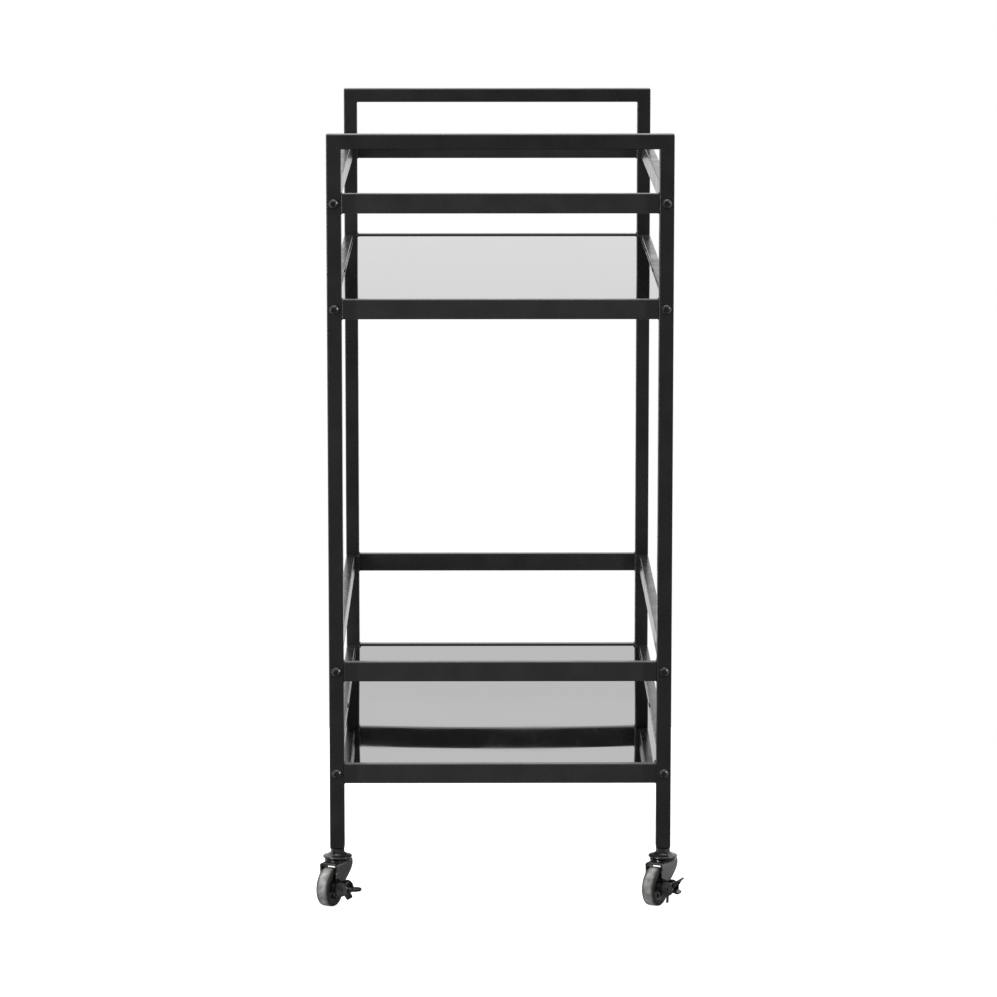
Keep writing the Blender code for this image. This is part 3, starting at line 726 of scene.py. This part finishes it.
LEG_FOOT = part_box("front_end_frame")[0].z
TOUCH = 0.3 * MM
STEM_RADIUS = 4 * MM
STEM_ENGAGED = 16 * MM
THREAD_PITCH = 1.25 * MM
THREAD_DEPTH = 0.35 * MM
COLLAR_FLATS = 13 * MM
COLLAR_HEIGHT = 4 * MM
COLLAR_TURN = math.radians(15)
DISH_RADIUS = 15 * MM
DISH_HEIGHT = 5.8 * MM
DISH_TOP = LEG_FOOT - TOUCH - COLLAR_HEIGHT
DISH_UNDER = DISH_TOP - DISH_HEIGHT
RACE_HEIGHT = 1.3 * MM
RACE_TOP = DISH_UNDER - TOUCH
DECK_TOP = RACE_TOP - RACE_HEIGHT
DECK_THICK = 2.3 * MM
DECK_UNDER = DECK_TOP - DECK_THICK
KINGPIN_HEAD = 6.5 * MM
KINGPIN_DROP = 1.7 * MM
STEM_STEPS = 72
DISH_RIM = 1.25 * MM
RIM_STEPS = 6
# Millimetres out from the axis, and up from the top of the dish
DISH_SLOPE = ((7.3, 0.1), (8.4, -0.35), (9.6, -1.5), (10.6, -2.1), (12.4, -2.4), (13.6, -2.75))

CASTER_BLACK = finish(
    "caster_black_plate",
    dark=(0.004, 0.004, 0.0045),
    light=(0.020, 0.0195, 0.0205),
    rough=(0.1, 0.3),
    grain=380,
    cloud=150,
    relief=0.35 * MM,
    gloss=0.8,
)


def caster_stem():
    """The stem about its own axis, standing at the origin."""
    tip = LEG_FOOT + STEM_ENGAGED
    profile = [(0, tip), (STEM_RADIUS - 0.9 * MM, tip), (STEM_RADIUS - THREAD_DEPTH, tip - 0.6 * MM)]
    height = tip - MM
    while height > LEG_FOOT + 2 * THREAD_PITCH:
        profile.append((STEM_RADIUS, height))
        profile.append((STEM_RADIUS - THREAD_DEPTH, height - THREAD_PITCH / 2))
        height -= THREAD_PITCH
    profile += [(STEM_RADIUS, height), (STEM_RADIUS, DISH_TOP + 0.2 * MM)]
    profile += [(out * MM, DISH_TOP + rise * MM) for out, rise in DISH_SLOPE]
    rim_out, rim_up = DISH_RADIUS - DISH_RIM, DISH_UNDER + 1.7 * MM
    for i in range(RIM_STEPS + 1):
        turn = math.radians(75 - 150 * i / RIM_STEPS)
        profile.append((rim_out + DISH_RIM * math.cos(turn), rim_up + DISH_RIM * math.sin(turn)))
    profile += [(13.4 * MM, DISH_UNDER + 0.1 * MM), (13.1 * MM, DISH_UNDER), (STEM_RADIUS, DISH_UNDER)]
    pin_under = DECK_UNDER - TOUCH
    profile += [(STEM_RADIUS, pin_under), (KINGPIN_HEAD, pin_under), (KINGPIN_HEAD, pin_under - 0.5 * MM)]
    profile.append((KINGPIN_HEAD - 0.6 * MM, pin_under - 1.2 * MM))
    profile += [(KINGPIN_HEAD - 2 * MM, pin_under - KINGPIN_DROP), (0, pin_under - KINGPIN_DROP)]
    collar = bmesh.new()
    across = COLLAR_FLATS / math.sqrt(3)
    collar_base = DISH_TOP - 0.6 * MM
    collar_top = LEG_FOOT - TOUCH
    middle = Matrix.Translation((0, 0, (collar_base + collar_top) / 2))
    bmesh.ops.create_cone(
        collar,
        cap_ends=True,
        segments=6,
        radius1=across,
        radius2=across,
        depth=collar_top - collar_base,
        matrix=middle @ Matrix.Rotation(COLLAR_TURN, 4, "Z"),
    )
    rounded(collar, [e for e in collar.edges if e.calc_face_angle(0) > 0.5], 0.45 * MM, 2)
    return reshaped(keep(spun(profile, STEM_STEPS), "stem"), joined=[keep(collar, "collar")])


STEM = caster_stem()
CASTERS = ("front_left", "front_right", "rear_left", "rear_right")
JOINTS = {joint["name"]: joint for joint in frame["joints"]}
STEM_MIDDLE = {}
for where in CASTERS:
    node = "caster_stem_" + where
    centre = Vector(JOINTS["swivel_" + where]["pos_m"])
    centre.z = 0
    STEM_MIDDLE[where] = centre
    stem = STEM.copy()
    stem.transform(Matrix.Translation(centre))
    settle("swivel_head_" + where, stem, "root", [CASTER_BLACK], [node])

# --- Caster forks -------------------------------------------------------------------------
# Pressed from 2 mm plate: a deck with a raised ball race, bent down into two cheeks that
# narrow towards the axle.  The braked pair has two ears round the lever's pivot pin.

WHEEL_RADIUS = 20 * MM
WHEEL_WIDTH = 13.5 * MM
TRAIL = 17.4 * MM
PLATE = 2 * MM
PLATE_EDGE = 0.3 * MM
CHEEK_INNER = WHEEL_WIDTH / 2 + MM
CHEEK_OUTER = CHEEK_INNER + PLATE
BEND = 3.2 * MM
INNER_BEND = 1.2 * MM
DECK_REAR = 15 * MM
DECK_FRONT = 21.5 * MM
RACE_RADIUS = 13.3 * MM
AXLE_RADIUS = 2.5 * MM
BOSS_RADIUS = 5 * MM
PIVOT_OUT = 16 * MM
EAR_RADIUS = 7.3 * MM
EAR_INNER = 6 * MM
EAR_THICK = 1.6 * MM
EAR_START = math.radians(-40)
EAR_SWEEP = math.radians(260)
EAR_STEPS = 24
PIN_RADIUS = 1.5 * MM
CHEEK_BACK_BOW = ((-3.5 * MM, -9 * MM), (-15.3 * MM, 9.9 * MM))
CHEEK_FRONT_BOW = ((1.1 * MM, 7.1 * MM), (-2.1 * MM, -8 * MM))
PLAIN_CHEEK_BACK = 6 * MM
PLAIN_BACK_BOW = ((0.3 * MM, -9 * MM), (-4 * MM, 7 * MM))


def bowed(start, end, bow, steps):
    """Points along a curved edge, whose handles are given as offsets from its two ends."""
    handles = [(p[0] + off[0], p[1] + off[1], 0) for p, off in zip((start, end), bow)]
    return [(p.x, p.y) for p in interpolate_bezier((*start, 0), *handles, (*end, 0), steps)]


def slab(*shape):
    """A raised outline as a mesh."""
    return keep(raised_outline(*shape), "slab")


# Turns for shapes that are drawn flat or about Z
ALONG_X = Matrix.Rotation(math.pi / 2, 4, "Y")
ALONG_Y = Matrix.Rotation(-math.pi / 2, 4, "X")
DRAWN_IN_YZ = Matrix(((0, 0, 1, 0), (1, 0, 0, 0), (0, 1, 0, 0), (0, 0, 0, 1)))

BOSS_START = math.radians(215)
BOSS_SWEEP = math.radians(155)
BOSS_STEPS = 14


def boss_edge():
    """The rounded end of a cheek, from its back edge under the axle to its front edge."""
    arc = []
    for i in range(BOSS_STEPS + 1):
        a = BOSS_START + BOSS_SWEEP * i / BOSS_STEPS
        arc.append((TRAIL + BOSS_RADIUS * math.cos(a), WHEEL_RADIUS + BOSS_RADIUS * math.sin(a)))
    return arc


def fork_side_view():
    """Outline of the fork from the side: deck, both curved edges and the boss at the axle."""
    arc = boss_edge()
    back = bowed((-DECK_REAR, DECK_UNDER), arc[0], CHEEK_BACK_BOW, 18)
    front = bowed(arc[-1], (DECK_FRONT, DECK_UNDER), CHEEK_FRONT_BOW, 12)
    corner = 1.2 * MM
    top = [(DECK_FRONT, DECK_TOP - corner), (DECK_FRONT - corner, DECK_TOP)]
    top += [(corner - DECK_REAR, DECK_TOP), (-DECK_REAR, DECK_TOP - corner)]
    return back + arc[1:] + front[1:] + top


def bent_channel():
    """Cross-section of the folded plate: two cheeks joined by the deck over rounded bends."""
    foot = WHEEL_RADIUS - 2 * BOSS_RADIUS

    def half(side, top, bend, steps):
        """One cheek's face up to the middle of the deck."""
        turns = [math.pi / 2 * i / steps for i in range(steps + 1)]
        arc = [(side - bend + bend * math.cos(a), top - bend + bend * math.sin(a)) for a in turns]
        return [(side, foot)] + arc

    outside = half(CHEEK_OUTER, DECK_TOP, BEND, 6)
    inside = half(CHEEK_INNER, DECK_UNDER, INNER_BEND, 4)
    outside += [(-y, z) for y, z in reversed(outside)]
    return outside + [(-y, z) for y, z in inside] + inside[::-1]


def caster_fork(braked):
    """The fork about its swivel axis, trailing towards +X, its brake side at +Y."""
    channel = slab(bent_channel(), -DECK_REAR - 9 * MM, DECK_FRONT + 6 * MM, DRAWN_IN_YZ)
    side_view = slab(fork_side_view(), -2 * CHEEK_OUTER, 2 * CHEEK_OUTER, STOOD_UP)
    pressed = reshaped(channel, within=[side_view])
    sink = MM  # how far joined shapes and cuts overrun
    race = [(0, DECK_TOP - sink), (RACE_RADIUS, DECK_TOP - sink), (RACE_RADIUS, RACE_TOP - 0.5 * MM)]
    race += [(RACE_RADIUS - 0.5 * MM, RACE_TOP), (0, RACE_TOP)]
    joined = [keep(spun(race, STEM_STEPS), "race")]
    axle_line = Vector((TRAIL, 0, WHEEL_RADIUS))
    reach = Vector((0, 2 * CHEEK_OUTER, 0))
    # The cheek away from the brake is narrower: the rest is sheared off behind its back edge.
    corner = boss_edge()[0]
    waste = bowed((PLAIN_CHEEK_BACK, DECK_UNDER), corner, PLAIN_BACK_BOW, 16)
    waste += [(-2 * DECK_REAR, corner[1] - 5 * MM), (-2 * DECK_REAR, DECK_UNDER)]
    cut = [
        slab(waste, CHEEK_INNER - 1.2 * MM, 2 * CHEEK_OUTER, STOOD_UP),
        round_bar(STEM_RADIUS + TOUCH, (0, 0, DECK_UNDER - sink), (0, 0, RACE_TOP + sink), 48),
        round_bar(AXLE_RADIUS + TOUCH, axle_line - reach, axle_line + reach),
    ]
    if braked:
        pivot = Vector((TRAIL, PIVOT_OUT, WHEEL_RADIUS))
        sunk = CHEEK_OUTER - PLATE / 2 - PIVOT_OUT
        ear = [(-5 * MM, sunk), (5 * MM, sunk)]
        for i in range(EAR_STEPS + 1):
            a = EAR_START + EAR_SWEEP * i / EAR_STEPS
            ear.append((EAR_RADIUS * math.cos(a), EAR_RADIUS * math.sin(a)))
        for end in (-1, 1):
            near, far = sorted((end * EAR_INNER, end * (EAR_INNER + EAR_THICK)))
            joined.append(slab(ear, near, far, Matrix.Translation(pivot) @ ALONG_X))
        half = EAR_INNER + EAR_THICK - 0.2 * MM
        pad_low = Vector((TRAIL - half, CHEEK_OUTER - PLATE / 2 - 0.2 * MM, WHEEL_RADIUS - 4.8 * MM))
        pad_high = Vector((TRAIL + half, CHEEK_OUTER - 0.2 * MM, WHEEL_RADIUS + 4.8 * MM))
        joined.append(bar(pad_low, pad_high, 0.3 * MM, 1))
        pin = Vector((12 * MM, 0, 0))
        cut.append(round_bar(PIN_RADIUS + TOUCH, pivot - pin, pivot + pin, 24))
    return reshaped(pressed, joined=joined, cut=cut, edge=PLATE_EDGE)


def on_casters(mesh, name, body, paint, node, casters=CASTERS):
    """The same piece on several casters, each turned to its own heading."""
    for where in casters:
        axis = Vector(JOINTS["wheel_spin_" + where]["axis"])
        heading = Matrix.Rotation(math.atan2(-axis.x, axis.y), 4, "Z")
        fitted = mesh.copy()
        fitted.transform(Matrix.Translation(STEM_MIDDLE[where]) @ heading)
        settle(f"{name}_{where}", fitted, f"{body}_{where}", [paint], [f"{node}_{where}"])


for braked in (True, False):
    casters = [where for where in CASTERS if ("brake_" + where in JOINTS) == braked]
    on_casters(caster_fork(braked), "fork", "caster", CASTER_BLACK, "caster_fork", casters)

# --- Axles --------------------------------------------------------------------------------
# A zinc-plated steel rivet through both cheeks of the fork and the wheel.  Its ends are domed
# over outside the cheeks.

AXLE_END = CHEEK_OUTER + TOUCH + 1.5 * MM
AXLE_HEAD = 4.2 * MM
AXLE_DOME = ((0, 0), (0.45, 0.12), (0.75, 0.45), (0.95, 0.95))  # share of AXLE_HEAD, mm from the end
AXLE_STEPS = 40

ZINC = finish(
    "axle_zinc",
    dark=(0.20, 0.20, 0.205),
    light=(0.34, 0.335, 0.33),
    rough=(0.25, 0.42),
    grain=1500,
    cloud=350,
    relief=0.02 * MM,
    metallic=0.9,
)


def mirrored(half):
    """A (radius, height) outline followed by its own lower half."""
    return half + [(radius, -height) for radius, height in reversed(half)]


axle_half = [(AXLE_HEAD * share, AXLE_END - drop * MM) for share, drop in AXLE_DOME]
axle_half += [(AXLE_HEAD, CHEEK_OUTER + TOUCH), (AXLE_RADIUS, CHEEK_OUTER + TOUCH)]
axle = keep(spun(mirrored(axle_half), AXLE_STEPS), "axle")
AXLE_PLACE = Matrix.Translation((TRAIL, 0, WHEEL_RADIUS)) @ ALONG_Y
axle.transform(AXLE_PLACE)
on_casters(axle, "axle", "caster", ZINC, "caster_axle")

# --- Wheel hubs ---------------------------------------------------------------------------
# Moulded black nylon: a boss on each side, a thin rim, and a web with a ring of round-ended
# pockets that keep its walls even.

TYRE_DEPTH = 4.7 * MM
HUB_RIM = 2 * MM
HUB_HALF = WHEEL_WIDTH / 2 - 0.6 * MM
HUB_WEB = HUB_HALF - 1.25 * MM
HUB_BOSS = 5 * MM
POCKETS = 7
POCKET_RING = 9.9 * MM
POCKET_RADIUS = 2.25 * MM
POCKET_FLOOR = 2.2 * MM
HUB_STEPS = 84

NYLON = finish(
    "hub_nylon",
    dark=(0.012, 0.014, 0.0145),
    light=(0.026, 0.029, 0.03),
    rough=(0.32, 0.5),
    grain=1500,
    cloud=200,
    relief=0.03 * MM,
)


def wheel_hub():
    """The hub about Z, centred on the origin."""
    rim = WHEEL_RADIUS - TYRE_DEPTH - TOUCH
    boss_end = CHEEK_INNER - TOUCH
    half = [(AXLE_RADIUS + TOUCH, boss_end), (HUB_BOSS - 0.3 * MM, boss_end), (HUB_BOSS, boss_end - 0.3 * MM)]
    half += [(HUB_BOSS + 0.5 * MM, HUB_WEB + 0.6 * MM), (HUB_BOSS + 1.2 * MM, HUB_WEB)]
    half += [(rim - HUB_RIM - 0.8 * MM, HUB_WEB), (rim - HUB_RIM, HUB_WEB + 0.5 * MM)]
    half += [(rim - HUB_RIM + 0.1 * MM, HUB_HALF - 0.2 * MM), (rim - HUB_RIM + 0.4 * MM, HUB_HALF)]
    half += [(rim - 0.3 * MM, HUB_HALF), (rim, HUB_HALF - 0.3 * MM)]
    body = keep(spun(mirrored(half), HUB_STEPS, ring=True), "hub")
    pockets = []
    for i in range(POCKETS):
        a = math.tau * (i + 0.25) / POCKETS
        x, y = POCKET_RING * math.cos(a), POCKET_RING * math.sin(a)
        for side in (-1, 1):
            bottom, mouth = (x, y, side * POCKET_FLOOR), (x, y, side * WHEEL_WIDTH)
            pockets.append(round_bar(POCKET_RADIUS, bottom, mouth, 20))
    return reshaped(body, cut=pockets)


hub = wheel_hub()
hub.transform(AXLE_PLACE)
on_casters(hub, "hub", "wheel", NYLON, "wheel_hub")

# --- Tyres --------------------------------------------------------------------------------
# Grey rubber moulded round the hub.  The tread shows the rubber's grey; the side walls are coloured
# near-black, as painted shade for the shadow of the fork's cheeks on them.

TREAD_FLAT = 2.4 * MM
TREAD_HALF = 4.6 * MM
WALL_HALF = WHEEL_WIDTH / 2
TYRE_STEPS = 96
TREAD_NOT_SHADED = ((TREAD_FLAT, 1.0), (TREAD_HALF, 0.45), (5.9 * MM, 0.06))  # how much of the tread's grey shows over the painted wall shade, out from the middle
# Painted shade: the near-black colour of the side walls stands in for the fork's shadow on them.
WALL_PAINTED_SHADE = (0.018, 0.018, 0.0185)

RUBBER = finish(
    "tyre_rubber",
    dark=(0.17, 0.167, 0.16),
    light=(0.50, 0.49, 0.475),
    rough=(0.5, 0.75),
    grain=700,
    cloud=150,
    relief=0.1 * MM,
    gloss=0.35,
)
# Where the tread mask runs out, the side walls take the painted shade.
tread_mask = RUBBER.node_tree.nodes.new("ShaderNodeAttribute")
tread_mask.attribute_name = "tread_not_shaded"
tone_elsewhere(RUBBER, tread_mask.outputs["Fac"], WALL_PAINTED_SHADE)

inner = WHEEL_RADIUS - TYRE_DEPTH
tyre_half = [(inner, WALL_HALF - 0.6 * MM), (inner + 0.5 * MM, WALL_HALF - 0.25 * MM)]
tyre_half += [(inner + 1.4 * MM, WALL_HALF), (WHEEL_RADIUS - 2.2 * MM, WALL_HALF)]
tyre_half.append((WHEEL_RADIUS - 1.3 * MM, WALL_HALF - 0.3 * MM))
tyre_half.append((WHEEL_RADIUS - 0.55 * MM, WALL_HALF - 0.95 * MM))
tyre_half += [(WHEEL_RADIUS - 0.12 * MM, TREAD_HALF), (WHEEL_RADIUS, TREAD_FLAT)]
bm = spun(mirrored(tyre_half), TYRE_STEPS, ring=True)
# Each vertex carries how much of the tread's grey shows; elsewhere the painted wall shade shows.
tread_not_shaded = bm.verts.layers.float.new("tread_not_shaded")
for vert in bm.verts:
    if math.hypot(vert.co.x, vert.co.y) > WHEEL_RADIUS - 1.2 * MM:
        vert[tread_not_shaded] = max((level for out, level in TREAD_NOT_SHADED if abs(vert.co.z) < out + 0.01 * MM), default=0.0)
tyre = keep(bm, "tyre")
tyre.transform(AXLE_PLACE)
on_casters(tyre, "tyre", "wheel", RUBBER, "wheel_tyre")

# --- Brake levers -------------------------------------------------------------------------
# A pressed lever with turned-down flanges rocks on a pin between the fork's ears: pedal
# outwards, release paddle below it, and a tooth that drops into the side of the hub.

LEVER_HALF = 5.5 * MM
BARREL = 4 * MM
PEDAL_REACH = 19.3 * MM
PEDAL_HALF = 7 * MM
LEVER_PLATE = 2 * MM
FLANGE = 1.3 * MM
RELEASE_REACH = 12.5 * MM
RELEASE_ANGLE = math.radians(-57)
TOOTH_REACH = 14.83 * MM
TOOTH_WIDTH = 3.2 * MM
TOOTH_THICK = 1.6 * MM
TOOTH_ANGLE = math.radians(-130)
CORNER = 2.5 * MM
FLANGE_GAP = 0.05 * MM

BRAKE_BLACK = finish(
    "brake_black_plate",
    dark=(0.006, 0.006, 0.0065),
    light=(0.014, 0.014, 0.0145),
    rough=(0.1, 0.22),
    grain=1200,
    cloud=220,
    relief=0.03 * MM,
    gloss=0.7,
)


def brake_lever():
    """The lever about its pivot along X, pedal level and pointing to +Y."""
    root = 2.5 * MM

    def arm(outline, thick, lean):
        """A flat arm of the lever, leant about the pivot."""
        return slab(outline, -thick / 2, thick / 2, Matrix.Rotation(lean, 4, "X"))

    pedal = [(LEVER_HALF, root), (LEVER_HALF, EAR_RADIUS + MM)]
    for i in range(13):
        a = math.pi / 2 * i / 12
        pedal.append((PEDAL_HALF * math.cos(a), PEDAL_REACH - PEDAL_HALF + PEDAL_HALF * math.sin(a)))
    pedal += [(-x, y) for x, y in reversed(pedal[:-1])]
    release = [(LEVER_HALF, root)]
    for i in range(9):
        a = math.pi / 2 * i / 8
        release.append((LEVER_HALF - CORNER * (1 - math.cos(a)), RELEASE_REACH - CORNER * (1 - math.sin(a))))
    release += [(-x, y) for x, y in reversed(release)]
    tooth = [(LEVER_HALF - TOOTH_WIDTH, root), (LEVER_HALF, root)]
    tooth += [(LEVER_HALF, TOOTH_REACH), (LEVER_HALF - TOOTH_WIDTH, TOOTH_REACH)]
    pin = EAR_INNER + EAR_THICK + MM
    parts = [
        arm(pedal, LEVER_PLATE, 0),
        arm(release, LEVER_PLATE, RELEASE_ANGLE),
        arm(tooth, TOOTH_THICK, TOOTH_ANGLE),
        round_bar(PIN_RADIUS, (-pin, 0, 0), (pin, 0, 0), 28),
    ]
    # Side flanges, drawn in YZ: deep at the barrel, running out towards the end of the pedal.
    flange = [(1.5 * MM, 0.8 * MM), (1.5 * MM, -3 * MM), (6 * MM, -3.8 * MM)]
    flange += [(13.5 * MM, -1.2 * MM), (14 * MM, 0.8 * MM)]
    for side in (-1, 1):
        near, far = sorted((side * LEVER_HALF, side * (LEVER_HALF - FLANGE)))
        parts.append(slab(flange, near + FLANGE_GAP, far - FLANGE_GAP, DRAWN_IN_YZ))
    barrel = round_bar(BARREL, (-5.7 * MM, 0, 0), (5.7 * MM, 0, 0), 40)
    return reshaped(barrel, joined=parts, edge=0.25 * MM)


LEVER = brake_lever()
PIVOT_PLACE = Matrix.Translation((TRAIL, PIVOT_OUT, WHEEL_RADIUS))
for where in CASTERS:
    if "brake_" + where in JOINTS:
        pressed_at = JOINTS["brake_" + where]["range_deg"][0]
        lever = LEVER.copy()
        lever.transform(PIVOT_PLACE @ Matrix.Rotation(math.radians(-pressed_at), 4, "X"))
        on_casters(lever, "lever", "brake", BRAKE_BLACK, "brake_lever", [where])
